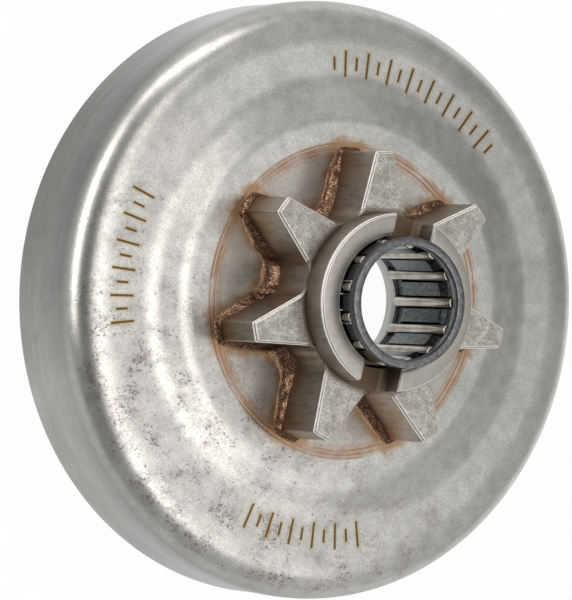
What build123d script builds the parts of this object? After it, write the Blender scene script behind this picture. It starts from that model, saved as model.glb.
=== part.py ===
from build123d import *
from math import radians, tan
import os

# Chainsaw clutch drum: a drawn steel cup, a spur sprocket brazed on its face and a caged needle bearing.
# Sizes are in millimetres. Z is the axis: the open rim stands on z = 0 and the sprocket points up.
# X runs along the middle of one tooth, and the two notches in the collar lie on Y.

# Cup, drawn from sheet and turned outside; the bend sizes are those of the inside of each bend
CUP_RADIUS = 36.7
CUP_SHOULDER_HEIGHT = 14.3
CUP_WALL = 2.4
CUP_CORNER_BEND = 2.0
CUP_RIM_CHAMFER = 0.4

# Face of the cup: a soft ramp carries it up to a flat land, where the sprocket's seat is faced off
LAND_RISE = 2.0
LAND_WIDTH = 3.1
RAMP_WIDTH = 3.9
RAMP_START_RISE = 0.1
RAMP_FOOT_BEND = 6.0
RAMP_TOP_BEND = 2.8
SEAT_MARGIN = 1.25
SEAT_DEPTH = 0.15

# Sprocket teeth
TOOTH_COUNT = 7
TOOTH_TIP_RADIUS = 18.25
TOOTH_TIP_WIDTH = 2.4
TOOTH_FLANK_ANGLE = 15.0
TOOTH_HEIGHT = 8.55
TOOTH_ROOT_ROUND = 2.3
TOOTH_CORNER_ROUND = 0.3
TOOTH_EDGE_CHAMFER = 0.25

# Bearing collar above the teeth, and the spigot below them that goes through the cup's floor
COLLAR_WALL = 2.76
COLLAR_HEIGHT = 3.75
COLLAR_CHAMFER = 0.45
COLLAR_GROOVE_WIDTH = 0.5
COLLAR_GROOVE_DEPTH = 0.2
BORE_CHAMFER = 0.5
NOTCH_WIDTH = 5.6
NOTCH_CORNER_FILLET = 0.9
SPIGOT_WALL = 1.96
SPIGOT_STANDOUT = 0.7
SPIGOT_CHAMFER = 0.4

# Braze bead along the foot of the teeth, and the gap it fills round the spigot
BRAZE_LEG = 1.05
BRAZE_HEIGHT = 0.85
BRAZE_TAPER = 45.0
BRAZE_GAP = 0.05

# Needle bearing, for a round crank journal
JOURNAL_RADIUS = 6.5
ROLLER_COUNT = 13
ROLLER_RADIUS = 0.75
ROLLER_LENGTH = 12.6
ROLLER_EDGE_FILLET = 0.2
RUNNING_CLEARANCE = 0.02
BEARING_STANDOUT = 2.6

# Cage of the bearing: two end rings, and bars that dip inwards between two outer lands
CAGE_RING_WIDTH = 1.3
CAGE_RING_CLEARANCE = 0.4
CAGE_BAR_CLEARANCE = 0.25
CAGE_BORE_CLEARANCE = 0.14
CAGE_SHEET = 0.55
CAGE_LAND_WIDTH = 1.5
CAGE_SLOPE_WIDTH = 0.8
POCKET_SIDE_CLEARANCE = 0.06
POCKET_END_CLEARANCE = 0.1

# Heights and radii that follow from the sizes above
LAND_Z = CUP_SHOULDER_HEIGHT + LAND_RISE
SEAT_Z = LAND_Z - SEAT_DEPTH
TOOTH_TOP_Z = SEAT_Z + TOOTH_HEIGHT
COLLAR_TOP_Z = TOOTH_TOP_Z + COLLAR_HEIGHT
SPIGOT_END_Z = LAND_Z - CUP_WALL - SPIGOT_STANDOUT
SEAT_RADIUS = TOOTH_TIP_RADIUS + SEAT_MARGIN
LAND_RADIUS = SEAT_RADIUS + LAND_WIDTH
ROLLER_CIRCLE_RADIUS = JOURNAL_RADIUS + RUNNING_CLEARANCE + ROLLER_RADIUS
BORE_RADIUS = ROLLER_CIRCLE_RADIUS + ROLLER_RADIUS + RUNNING_CLEARANCE
COLLAR_RADIUS = BORE_RADIUS + COLLAR_WALL
SPIGOT_RADIUS = BORE_RADIUS + SPIGOT_WALL
POCKET_LENGTH = ROLLER_LENGTH + 2 * POCKET_END_CLEARANCE
CAGE_LENGTH = POCKET_LENGTH + 2 * CAGE_RING_WIDTH
CAGE_MIDDLE_Z = COLLAR_TOP_Z + BEARING_STANDOUT - CAGE_LENGTH / 2


def upright(*lines):
    """Face in the XZ plane from lines drawn in radius and height."""
    return Plane.XZ * make_face(lines)


def disc(radius, low, high):
    """Round solid on the axis between two heights."""
    return Pos(0, 0, low) * Cylinder(radius, high - low, align=(Align.CENTER, Align.CENTER, Align.MIN))


def cup_form(inset, bottom):
    """Solid within the cup's outer skin, or within its inner skin when the inset is the wall."""
    side = CUP_RADIUS - inset
    shoulder = CUP_SHOULDER_HEIGHT - inset
    land = LAND_Z - inset
    outside_of_bend = CUP_WALL - inset
    skin = FilletPolyline(
        (side, bottom),
        (side, shoulder),
        (LAND_RADIUS + RAMP_WIDTH, shoulder + RAMP_START_RISE),
        (LAND_RADIUS, land),
        (0, land),
        radius=[CUP_CORNER_BEND + outside_of_bend, RAMP_FOOT_BEND + inset, RAMP_TOP_BEND + outside_of_bend],
    )
    back = Polyline((0, land), (0, bottom), (side, bottom))
    return revolve(upright(*skin.edges(), *back.edges()), Axis.Z)


def drum_cup():
    """Cup with a faced seat for the sprocket and a hole for its spigot."""
    cup = cup_form(0, 0) - cup_form(CUP_WALL, -CUP_WALL)
    cup = chamfer(cup.edges().group_by(Axis.Z)[0], CUP_RIM_CHAMFER)
    seat = disc(SEAT_RADIUS, SEAT_Z, LAND_Z + SEAT_DEPTH)
    hole = disc(SPIGOT_RADIUS + BRAZE_GAP, SPIGOT_END_Z, LAND_Z)
    return cup - seat - hole


def tooth_outline():
    """One tooth seen along the axis, with straight flanks from inside the collar to past its tip."""
    narrowing = tan(radians(TOOTH_FLANK_ANGLE))
    inner = BORE_RADIUS
    outer = TOOTH_TIP_RADIUS + TOOTH_CORNER_ROUND
    inner_half = TOOTH_TIP_WIDTH / 2 + (TOOTH_TIP_RADIUS - inner) * narrowing
    outer_half = TOOTH_TIP_WIDTH / 2 - (outer - TOOTH_TIP_RADIUS) * narrowing
    flank = Polyline((inner, -inner_half), (outer, -outer_half), (outer, outer_half), (inner, inner_half), close=True)
    return make_face(flank)


def sprocket_outline():
    """Teeth and collar seen along the axis; stepping out and back in rounds the gullets, and the reverse the tips."""
    outline = Circle(COLLAR_RADIUS)
    for turn in PolarLocations(0, TOOTH_COUNT):
        outline += turn * tooth_outline()
    outline &= Circle(TOOTH_TIP_RADIUS)
    outline = offset(offset(outline, TOOTH_ROOT_ROUND), -TOOTH_ROOT_ROUND)
    return offset(offset(outline, -TOOTH_CORNER_ROUND), TOOTH_CORNER_ROUND)


def notch():
    """Slot along Y across the collar, down to the tops of the teeth, with rounded lower corners."""
    half = NOTCH_WIDTH / 2
    high = COLLAR_TOP_Z + COLLAR_HEIGHT
    sides = FilletPolyline(
        (-half, high), (-half, TOOTH_TOP_Z), (half, TOOTH_TOP_Z), (half, high), radius=NOTCH_CORNER_FILLET
    )
    lid = Line((half, high), (-half, high))
    return extrude(upright(*sides.edges(), lid), amount=2 * COLLAR_RADIUS, both=True)


def spur_sprocket():
    """Teeth, notched collar and spigot in one piece, with the bearing's bore through all three."""
    teeth = extrude(Pos(0, 0, SEAT_Z) * sprocket_outline(), amount=TOOTH_HEIGHT)
    teeth = chamfer(teeth.faces().sort_by(Axis.Z)[-1].outer_wire().edges(), TOOTH_EDGE_CHAMFER)
    groove_floor = TOOTH_TOP_Z - COLLAR_GROOVE_DEPTH
    teeth -= disc(COLLAR_RADIUS + COLLAR_GROOVE_WIDTH, groove_floor, COLLAR_TOP_Z)
    collar = disc(COLLAR_RADIUS, SEAT_Z, COLLAR_TOP_Z)
    collar = chamfer(collar.edges().sort_by(Axis.Z)[-1], COLLAR_CHAMFER)
    collar -= notch()
    spigot = disc(SPIGOT_RADIUS, SPIGOT_END_Z, SEAT_Z)
    spigot = chamfer(spigot.edges().sort_by(Axis.Z)[0], SPIGOT_CHAMFER)
    bore = disc(BORE_RADIUS, SPIGOT_END_Z, COLLAR_TOP_Z)
    mouth = Cone(BORE_RADIUS, BORE_RADIUS + 2 * BORE_CHAMFER, 2 * BORE_CHAMFER)
    return teeth + collar + spigot - bore - Pos(0, 0, COLLAR_TOP_Z) * mouth


def copper_braze():
    """Bead that follows the foot of the teeth, standing on the seat and leaning on the flanks."""
    foot = Pos(0, 0, SEAT_Z) * sprocket_outline()
    bead = extrude(offset(foot, BRAZE_LEG), amount=BRAZE_HEIGHT, taper=BRAZE_TAPER)
    return bead - extrude(foot, amount=BRAZE_HEIGHT)


def cage_section():
    """Upper half of the cage's section in radius and height, from its middle to an end ring."""
    outer = BORE_RADIUS - CAGE_BORE_CLEARANCE
    ring_inner = JOURNAL_RADIUS + CAGE_RING_CLEARANCE
    bar_inner = JOURNAL_RADIUS + CAGE_BAR_CLEARANCE
    ring_top = CAGE_LENGTH / 2
    ring_foot = ring_top - CAGE_RING_WIDTH
    slope_top = ring_foot - CAGE_LAND_WIDTH
    slope_foot = slope_top - CAGE_SLOPE_WIDTH
    return Polyline(
        (bar_inner, 0),
        (bar_inner, slope_foot),
        (outer - CAGE_SHEET, slope_top),
        (outer - CAGE_SHEET, ring_foot),
        (ring_inner, ring_foot),
        (ring_inner, ring_top),
        (outer, ring_top),
        (outer, slope_top),
        (bar_inner + CAGE_SHEET, slope_foot),
        (bar_inner + CAGE_SHEET, 0),
        close=True,
    )


def roller_places():
    """Where the rollers stand; the first is half a step past the X axis."""
    return PolarLocations(ROLLER_CIRCLE_RADIUS, ROLLER_COUNT, start_angle=180 / ROLLER_COUNT)


def bearing_cage():
    """Cage turned as a ring, with a pocket cut through it for each roller."""
    half = revolve(upright(*cage_section().edges()), Axis.Z)
    cage = half + mirror(half, Plane.XY)
    pocket = Box(4 * ROLLER_RADIUS, 2 * (ROLLER_RADIUS + POCKET_SIDE_CLEARANCE), POCKET_LENGTH)
    for place in roller_places():
        cage -= place * pocket
    return Pos(0, 0, CAGE_MIDDLE_Z) * cage


def needle_rollers():
    """Loose rollers with rounded ends, one in each pocket."""
    roller = Cylinder(ROLLER_RADIUS, ROLLER_LENGTH)
    roller = fillet(roller.edges().filter_by(GeomType.CIRCLE), ROLLER_EDGE_FILLET)
    return [Pos(0, 0, CAGE_MIDDLE_Z) * place * roller for place in roller_places()]


def main():
    nodes = {
        "drum_cup": drum_cup(),
        "spur_sprocket": spur_sprocket(),
        "copper_braze": copper_braze(),
        "bearing_cage": bearing_cage(),
    }
    for number, roller in enumerate(needle_rollers(), start=1):
        nodes[f"needle_roller_{number:02d}"] = roller
    os.makedirs("parts", exist_ok=True)
    for name, solid in nodes.items():
        export_step(solid, f"parts/{name}.step")


main()
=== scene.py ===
# %% [markdown]
# # A chainsaw clutch drum, dressed around its solid model
# The drum is a drawn steel cup with a seven-tooth sprocket brazed on its face and a caged needle bearing in
# its bore. The solid model fixes every size and place, so the first step loads it as a frame that nothing may
# move. Each piece is then modelled again with finer curves, and takes the place of its plain solid.

# %% Load the fixed frame
from math import acos, asin, atan2, ceil, cos, pi, radians, sin, sqrt, tan

import bmesh
import bpy
from mathutils import Matrix, Vector


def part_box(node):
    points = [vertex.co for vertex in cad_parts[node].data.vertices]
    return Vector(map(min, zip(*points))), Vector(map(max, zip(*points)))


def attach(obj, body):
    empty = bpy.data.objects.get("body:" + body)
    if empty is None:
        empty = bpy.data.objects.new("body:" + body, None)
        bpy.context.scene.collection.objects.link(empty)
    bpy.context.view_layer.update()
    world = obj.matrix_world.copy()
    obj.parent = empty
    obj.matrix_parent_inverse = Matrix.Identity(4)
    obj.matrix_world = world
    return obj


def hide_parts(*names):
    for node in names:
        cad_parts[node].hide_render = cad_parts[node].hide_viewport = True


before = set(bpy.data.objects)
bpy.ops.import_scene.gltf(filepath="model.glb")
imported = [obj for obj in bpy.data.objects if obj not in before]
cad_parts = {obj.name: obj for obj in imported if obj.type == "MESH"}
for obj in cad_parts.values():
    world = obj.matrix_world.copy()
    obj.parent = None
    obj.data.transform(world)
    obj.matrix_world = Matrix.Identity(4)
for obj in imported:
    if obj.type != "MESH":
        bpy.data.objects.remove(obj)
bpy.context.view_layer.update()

MM = 0.001


# %% Read the main sizes from the frame, in millimetres
def reach(node):
    """Largest radius, lowest height and highest height of a solid."""
    low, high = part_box(node)
    return high.x / MM, low.z / MM, high.z / MM


CUP_RADIUS, RIM_Z, LAND_Z = reach("drum_cup")
TIP_RADIUS, SPIGOT_Z, COLLAR_Z = reach("spur_sprocket")
BEAD_RADIUS, SEAT_Z, BEAD_Z = reach("copper_braze")
CAGE_RADIUS, CAGE_LOW, CAGE_HIGH = reach("bearing_cage")
TOOTH_COUNT = 7
TOOTH_HEIGHT = 8.55
TIP_WIDTH = 2.4
FLANK_ANGLE = radians(15)
COLLAR_RADIUS = 10.8
print("Cup, tip and cage radius:", [round(radius, 2) for radius in (CUP_RADIUS, TIP_RADIUS, CAGE_RADIUS)])

# %% [markdown]
# ## Helpers for turned and stacked shapes
# Almost every piece here was made on a lathe or pressed along an axis. So three small helpers give the
# shapes: one rounds the corners of an outline with true arcs, one stretches faces between rows of points, and
# one turns a closed section about the axis. Rows keep the mesh in clean quads, which bevels and shading handle
# well. The other helpers clean a mesh, make it a piece and settle its modifiers.

# %% Shape helpers
ARC_STEP = 0.16
MERGE_DISTANCE = 0.0005


def spot(radius, angle, height):
    """Point in metres from a radius and height in millimetres and an angle in radians."""
    return Vector((radius * cos(angle), radius * sin(angle), height)) * MM


def rounded(corners, steps=None):
    """Closed outline through corners (x, y, radius), where an arc of that radius turns each corner."""
    outline = []
    for number, (x, y, radius) in enumerate(corners):
        corner = Vector((x, y))
        before = Vector(corners[number - 1][:2]) - corner
        after = Vector(corners[(number + 1) % len(corners)][:2]) - corner
        if radius == 0:
            outline.append(corner)
            continue
        half = before.angle(after) / 2
        bisector = (before.normalized() + after.normalized()).normalized()
        centre = corner + bisector * (radius / sin(half))
        arm = corner + before.normalized() * (radius / tan(half)) - centre
        sweep = pi - 2 * half
        count = steps or max(2, ceil(sweep * radius / ARC_STEP))
        if before.cross(after) > 0:
            sweep = -sweep
        outline += [centre + Matrix.Rotation(sweep * step / count, 2) @ arm for step in range(count + 1)]
    return outline


def skin(mesh, rows, ring=True):
    """Faces between rows of vertices; each row is a closed loop, and a ring of rows closes on itself."""
    for this, that in zip(rows, rows[1:] + rows[:1] if ring else rows[1:]):
        for number in range(len(this)):
            mesh.faces.new((this[number - 1], this[number], that[number], that[number - 1]))


def clean(mesh):
    """Merges doubles, drops what has no face and turns the faces outwards."""
    bmesh.ops.remove_doubles(mesh, verts=mesh.verts, dist=MERGE_DISTANCE * MM)
    bmesh.ops.dissolve_degenerate(mesh, edges=mesh.edges, dist=MERGE_DISTANCE * MM)
    bmesh.ops.delete(mesh, geom=[edge for edge in mesh.edges if not edge.link_faces], context="EDGES")
    bmesh.ops.recalc_face_normals(mesh, faces=mesh.faces)


def lathe(mesh, section, turns, middle=(0, 0)):
    """Turns a closed (radius, height) section about an upright axis through the middle."""
    shift = Vector((*middle, 0)) * MM
    angles = [2 * pi * turn / turns for turn in range(turns)]
    rows = [[mesh.verts.new(spot(x, angle, y) + shift) for x, y in section] for angle in angles]
    skin(mesh, rows)


def make_piece(name, mesh, finish=None, sharp=35):
    """Object from an edit mesh, smooth apart from edges sharper than the angle in degrees."""
    data = bpy.data.meshes.new(name)
    if finish:
        data.materials.append(finish)
    mesh.to_mesh(data)
    mesh.free()
    data.shade_smooth()
    data.set_sharp_from_angle(angle=radians(sharp))
    piece = bpy.data.objects.new(name, data)
    bpy.context.scene.collection.objects.link(piece)
    print(name, "has", len(data.polygons), "faces")
    return piece


def settle(piece):
    """Turns a piece with modifiers into a plain mesh."""
    graph = bpy.context.evaluated_depsgraph_get()
    mesh = bpy.data.meshes.new_from_object(piece.evaluated_get(graph))
    piece.modifiers.clear()
    piece.data = mesh
    print(piece.name, "settled with", len(mesh.polygons), "faces")


# %% [markdown]
# ## The camera
# The photograph was taken with a long lens from well above the sprocket side, rolled so that the drum's axis
# points to the right of the picture. The place and the axes below come from fitting the drum's own circles to
# the picture, so the render lines up with it. The long side of the frame takes the sensor's width.

# %% Camera
CAMERA_PLACE = Vector((-415.014, -94.599, 688.449)) * MM
CAMERA_BACK = Vector((-0.51427, -0.11708, 0.84960)).normalized()
CAMERA_UP = Vector((-0.24690, 0.96891, -0.01592)).normalized()
CAMERA_RIGHT = CAMERA_UP.cross(CAMERA_BACK)
CAMERA_LENS = 391.4
CAMERA_SENSOR = 36.0

camera_data = bpy.data.cameras.new("product_camera")
camera_data.sensor_width = CAMERA_SENSOR
camera_data.lens = CAMERA_LENS
camera = bpy.data.objects.new("product_camera", camera_data)
CAMERA_TURN = Matrix((CAMERA_RIGHT, CAMERA_UP, CAMERA_BACK)).transposed().to_4x4()
camera.matrix_world = Matrix.Translation(CAMERA_PLACE) @ CAMERA_TURN
bpy.context.scene.collection.objects.link(camera)
bpy.context.scene.camera = camera
print("Camera stands", round(CAMERA_PLACE.length, 3), "m from the rim's centre")

# %% [markdown]
# ## Helpers for finishes
# Colours are written as the hex values that a picture editor shows, and one function turns them to the linear
# values that the renderer works in. One more function adds a node: it sets the node's options and feeds each
# input with a number, a colour or another node's output, so a finish reads from top to bottom. Four steps
# come back in most finishes, so they have names: a pattern of noise, a level that depends on a direction, the
# overlap of several masks, and layers of colour laid over each other.


# %% Finish helpers
def paint(code):
    """Linear colour from an sRGB hex code."""
    shares = [int(code[place:place + 2], 16) / 255 for place in (1, 3, 5)]
    linear = [share / 12.92 if share <= 0.04045 else ((share + 0.055) / 1.055) ** 2.4 for share in shares]
    return (*linear, 1.0)


def add(tree, kind, feeds=None, **options):
    """Adds one node with its options and feeds, and gives its first output."""
    node = tree.nodes.new(kind)
    for name, value in options.items():
        setattr(node, name, value)
    for name, value in (feeds or {}).items():
        if isinstance(name, int):
            socket = node.inputs[name]
        else:
            socket = next(plug for plug in node.inputs if plug.enabled and plug.name == name)
        for source in value if isinstance(value, list) else [value]:
            if isinstance(source, bpy.types.NodeSocket):
                tree.links.new(source, socket)
            else:
                socket.default_value = source
    return next((plug for plug in node.outputs if plug.enabled), None)


def new_finish(name):
    """Empty material and its node tree."""
    material = bpy.data.materials.new(name)
    material.use_nodes = True
    material.node_tree.nodes.clear()
    return material, material.node_tree


def places(tree):
    """Position in millimetres, and the radius, angle and height that it gives about the drum's axis."""
    position = add(tree, "ShaderNodeVectorMath",
                   {"Vector": add(tree, "ShaderNodeTexCoord").node.outputs["Object"], "Scale": 1 / MM},
                   operation="SCALE")
    split = add(tree, "ShaderNodeSeparateXYZ", {"Vector": position}).node.outputs
    flat = add(tree, "ShaderNodeCombineXYZ", {"X": split["X"], "Y": split["Y"]})
    radius = add(tree, "ShaderNodeVectorMath", {0: flat}, operation="LENGTH")
    angle = add(tree, "ShaderNodeMath", {0: split["Y"], 1: split["X"]}, operation="ARCTAN2")
    return position, radius, angle, split["Z"]


def pattern(tree, place, size, detail, start, end, least=0.0, most=1.0):
    """Noise of a size in millimetres, as a share that goes from least to most between two levels of it."""
    noise = add(tree, "ShaderNodeTexNoise", {"Vector": place, "Scale": 1 / size, "Detail": detail})
    return add(tree, "ShaderNodeMapRange", {
        "Value": noise, "From Min": start, "From Max": end, "To Min": least, "To Max": most})


def toward(tree, vector, aim, start, end, least, most, easing="SMOOTHSTEP"):
    """Level that goes from least to most as a vector reaches along an aim."""
    along = add(tree, "ShaderNodeVectorMath", {0: vector, 1: aim}, operation="DOT_PRODUCT")
    return add(tree, "ShaderNodeMapRange", {
        "Value": along, "From Min": start, "From Max": end, "To Min": least, "To Max": most},
        interpolation_type=easing)


def overlap(tree, first, *others):
    """Share that is left where several shares meet."""
    for share in others:
        first = add(tree, "ShaderNodeMath", {0: first, 1: share}, operation="MULTIPLY")
    return first


def laid(tree, colour, *layers):
    """Colour under layers, each a share and a hex code, with the last one on top."""
    for share, code in layers:
        colour = add(tree, "ShaderNodeMix", {
            "Factor": share, "A": colour, "B": paint(code)}, data_type="RGBA")
    return colour


def close_finish(tree, colour, roughness, height, depth):
    """Ends a metal finish: one shader with a colour, a roughness and a relief of a depth in millimetres."""
    relief = add(tree, "ShaderNodeBump", {"Height": height, "Distance": depth * MM, "Strength": 1.0})
    shader = add(tree, "ShaderNodeBsdfPrincipled",
                 {"Base Color": colour, "Metallic": 1.0, "Roughness": roughness, "Normal": relief})
    add(tree, "ShaderNodeOutputMaterial", {"Surface": shader})


# %% [markdown]
# ## Drum steel
# The cup is low-carbon steel sheet, drawn and tumbled, with only its outside wall turned. Tumbling leaves a
# satin skin with soft clouds, and storage leaves pin-head pits, most of them on one side with a faint brown
# bloom between them. A finish like this is built in layers: each function below lays one pattern over the
# colour that it is given, and each pattern has its size in millimetres.

# %% Drum steel: clouds and pits
CLOUD_SIZE = 1.8
BLOTCH_SIZE = 7.0
GRAIN_SIZE = 0.2
PIT_SIZE = 0.31
PIT_PATCH_SIZE = 3.0
BLOOM_SIZE = 0.7
STAIN_DIRECTION = Vector((cos(radians(238)), sin(radians(238)), 0))


def clouded(tree, position):
    """Colour of satin steel with soft clouds of two sizes and a fine grain."""
    small = add(tree, "ShaderNodeTexNoise", {"Vector": position, "Scale": 1 / CLOUD_SIZE, "Detail": 3.0})
    large = add(tree, "ShaderNodeTexNoise", {"Vector": position, "Scale": 1 / BLOTCH_SIZE, "Detail": 2.0})
    both = add(tree, "ShaderNodeMath", {0: small, 1: large}, operation="ADD")
    cloud = add(tree, "ShaderNodeMapRange", {"Value": both, "From Min": 0.75, "From Max": 1.25})
    grain = pattern(tree, position, GRAIN_SIZE, 2.0, 0.38, 0.68, most=0.42)
    return laid(tree, paint("#b9b7b1"), (cloud, "#d0cec8"), (grain, "#85837d"))


def pitted(tree, position, radius, colour):
    """Ragged pits, more and larger in patches of the stained side, and few on the wall."""
    stained = toward(tree, position, STAIN_DIRECTION, -6.0, 28.0, 0.1, 1.0)
    on_face = add(tree, "ShaderNodeMapRange", {
        "Value": radius, "From Min": CUP_RADIUS - 0.2, "From Max": CUP_RADIUS - 1.5, "To Min": 0.15})
    side = overlap(tree, stained, on_face)
    dense = overlap(tree, pattern(tree, position, PIT_PATCH_SIZE, 3.0, 0.46, 0.64, least=0.15), side)
    bloom = overlap(tree, pattern(tree, position, BLOOM_SIZE, 5.0, 0.36, 0.66, most=0.7), dense)
    few = add(tree, "ShaderNodeMath", {0: side, 1: -0.065, 2: 0.74}, operation="MULTIPLY_ADD")
    limit = add(tree, "ShaderNodeMath", {0: dense, 1: -0.12, 2: few}, operation="MULTIPLY_ADD")
    pit = add(tree, "ShaderNodeTexNoise", {"Vector": position, "Scale": 1 / PIT_SIZE, "Detail": 2.0})
    pit = add(tree, "ShaderNodeMath", {0: pit, 1: limit}, operation="SUBTRACT")
    pit = add(tree, "ShaderNodeMapRange", {"Value": pit, "From Max": 0.06, "To Max": 0.68})
    return laid(tree, colour, (bloom, "#85797a"), (pit, "#574a44"))


# %% [markdown]
# The seat was heated for brazing, so copper has wicked out along its last turning grooves and shows as thin
# tan rings, broken into patches. The drum also carries arcs of plain graduation strokes. A laser burnt them
# in, so each stroke is dark with a straw-coloured edge, which needs only the distance to the nearest stroke.

# %% Drum steel: copper rings and strokes
SEAT_RADIUS = 19.5
COPPER_INNER = 17.2
COPPER_RING_PITCH = 0.54
COPPER_PATCH_SIZE = 2.6
STAIN_SIZE = 1.2
STAIN_REACH = 2.0
GULLET_BLEND = 3.7
# Radius in millimetres, then the middle and the span in degrees
STROKE_ARCS = ((29.0, 80.0, 53.0), (30.3, 184.0, 34.0), (28.8, 275.0, 36.0))
STROKE_PITCH = 1.6
STROKE_WIDTH = 0.3
STROKE_HALF = 0.8
STROKE_HALO = 0.35


def copper_ringed_and_shaded(tree, position, radius, colour):
    """Thin copper rings on the outer seat, with painted shade darkening it further in between the teeth."""
    patch = add(tree, "ShaderNodeTexNoise", {
        "Vector": position, "Scale": 1 / COPPER_PATCH_SIZE, "Detail": 3.0})
    inside = add(tree, "ShaderNodeMapRange", {
        "Value": radius, "From Min": COPPER_INNER, "From Max": COPPER_INNER + 1.2},
        interpolation_type="SMOOTHSTEP")
    outside = add(tree, "ShaderNodeMapRange", {
        "Value": radius, "From Min": SEAT_RADIUS, "From Max": SEAT_RADIUS - 0.25})
    wander = add(tree, "ShaderNodeMath", {0: patch, 1: 0.4, 2: radius}, operation="MULTIPLY_ADD")
    wave = add(tree, "ShaderNodeMath", {0: wander, 1: 2 * pi / COPPER_RING_PITCH}, operation="MULTIPLY")
    wave = add(tree, "ShaderNodeMath", {0: wave}, operation="SINE")
    wave = add(tree, "ShaderNodeMapRange", {
        "Value": wave, "From Min": -0.2, "From Max": 0.9, "To Min": 0.55})
    patch = add(tree, "ShaderNodeMapRange", {
        "Value": patch, "From Min": 0.35, "From Max": 0.6, "To Min": 0.5})
    ring = overlap(tree, inside, outside, wave, patch)
    # Painted shade: the seat grows darker further in, between the teeth.
    inner = add(tree, "ShaderNodeMapRange", {
        "Value": radius, "From Min": SEAT_RADIUS, "From Max": COPPER_INNER, "To Max": 0.3})
    return laid(tree, colour, (inner, "#857a6e"), (ring, "#9a7355"))


def flank_gap(tree, radius, angle):
    """Distance in millimetres from the nearest tooth or the collar, seen along the axis."""
    turn = add(tree, "ShaderNodeMath", {0: angle, 1: pi / TOOTH_COUNT}, operation="PINGPONG")
    across = overlap(tree, add(tree, "ShaderNodeMath", {0: turn}, operation="SINE"), radius)
    along = overlap(tree, add(tree, "ShaderNodeMath", {0: turn}, operation="COSINE"), radius)
    lean = add(tree, "ShaderNodeMath", {0: along, 1: tan(FLANK_ANGLE), 2: across}, operation="MULTIPLY_ADD")
    foot_half = TIP_WIDTH / 2 + TIP_RADIUS * tan(FLANK_ANGLE)
    beside = add(tree, "ShaderNodeMath", {0: lean, 1: foot_half}, operation="SUBTRACT")
    past = add(tree, "ShaderNodeMath", {0: along, 1: TIP_RADIUS}, operation="SUBTRACT")
    gap = add(tree, "ShaderNodeMath", {0: beside, 1: past}, operation="MAXIMUM")
    out = add(tree, "ShaderNodeMath", {0: radius, 1: COLLAR_RADIUS}, operation="SUBTRACT")
    return add(tree, "ShaderNodeMath", {0: gap, 1: out, 2: GULLET_BLEND}, operation="SMOOTH_MIN")


def flank_stained(tree, position, radius, angle, colour):
    """Copper that has wicked over the seat beside the teeth, ragged and thinning outwards."""
    ragged = add(tree, "ShaderNodeTexNoise", {"Vector": position, "Scale": 1 / STAIN_SIZE, "Detail": 5.0})
    gap = add(tree, "ShaderNodeMath", {0: ragged, 1: -3.0, 2: flank_gap(tree, radius, angle)},
              operation="MULTIPLY_ADD")
    share = add(tree, "ShaderNodeMapRange", {
        "Value": gap, "From Min": STAIN_REACH - 1.5, "From Max": -0.6, "To Max": 0.85})
    return laid(tree, colour, (share, "#9c7a58"))


def stroke_gap(tree, radius, angle, ring, middle, span):
    """Distance in millimetres to the nearest stroke of one arc, long and short by turns."""
    turn = add(tree, "ShaderNodeMath", {0: angle, 1: radians(middle)}, operation="SUBTRACT")
    turn = add(tree, "ShaderNodeMath", {0: turn, 1: pi, 2: -pi}, operation="WRAP")
    along = add(tree, "ShaderNodeMath", {0: turn, 1: ring}, operation="MULTIPLY")
    beside = add(tree, "ShaderNodeMath", {0: along, 1: STROKE_PITCH / 2}, operation="PINGPONG")
    beside = add(tree, "ShaderNodeMath", {0: beside, 1: STROKE_WIDTH / 2}, operation="SUBTRACT")
    place = add(tree, "ShaderNodeMath", {0: along, 1: STROKE_PITCH}, operation="PINGPONG")
    longer = add(tree, "ShaderNodeMath", {0: place, 1: STROKE_PITCH / 2}, operation="GREATER_THAN")
    half = add(tree, "ShaderNodeMath", {0: longer, 1: STROKE_HALF, 2: STROKE_HALF}, operation="MULTIPLY_ADD")
    off = add(tree, "ShaderNodeMath", {0: radius, 1: ring}, operation="SUBTRACT")
    off = add(tree, "ShaderNodeMath", {0: off}, operation="ABSOLUTE")
    off = add(tree, "ShaderNodeMath", {0: off, 1: half}, operation="SUBTRACT")
    past = add(tree, "ShaderNodeMath", {0: along}, operation="ABSOLUTE")
    past = add(tree, "ShaderNodeMath", {0: past, 1: radians(span) / 2 * ring}, operation="SUBTRACT")
    gap = add(tree, "ShaderNodeMath", {0: beside, 1: off}, operation="MAXIMUM")
    return add(tree, "ShaderNodeMath", {0: gap, 1: past}, operation="MAXIMUM")


def marked(tree, radius, angle, height, colour):
    """Burnt strokes on the outer face, where the height is above the wall's middle."""
    gap = None
    for arc in STROKE_ARCS:
        this = stroke_gap(tree, radius, angle, *arc)
        gap = this if gap is None else add(tree, "ShaderNodeMath", {0: gap, 1: this}, operation="MINIMUM")
    outer = add(tree, "ShaderNodeMath", {0: height, 1: SEAT_Z - 3.0}, operation="GREATER_THAN")
    for low, high, strength, code in ((STROKE_HALO, 0.0, 0.45, "#a8925f"), (0.06, -0.06, 0.95, "#5d4212")):
        share = add(tree, "ShaderNodeMapRange", {
            "Value": gap, "From Min": low, "From Max": high, "To Max": strength})
        colour = laid(tree, colour, (overlap(tree, share, outer), code))
    return colour


# %% [markdown]
# The wall keeps the fine rings of the turning tool. A noise that is stretched far round the drum and squeezed
# along its axis gives such rings, with none of the seams that an angle would bring.

# %% Drum steel finish
TURNING_STRETCH = Vector((1 / 12, 1 / 12, 1 / 0.16))
TURN_TOP = 5.0
TURN_RISE = 3.4
SIDE_TOP = 12.6
STEEL_RELIEF = 0.006


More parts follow.
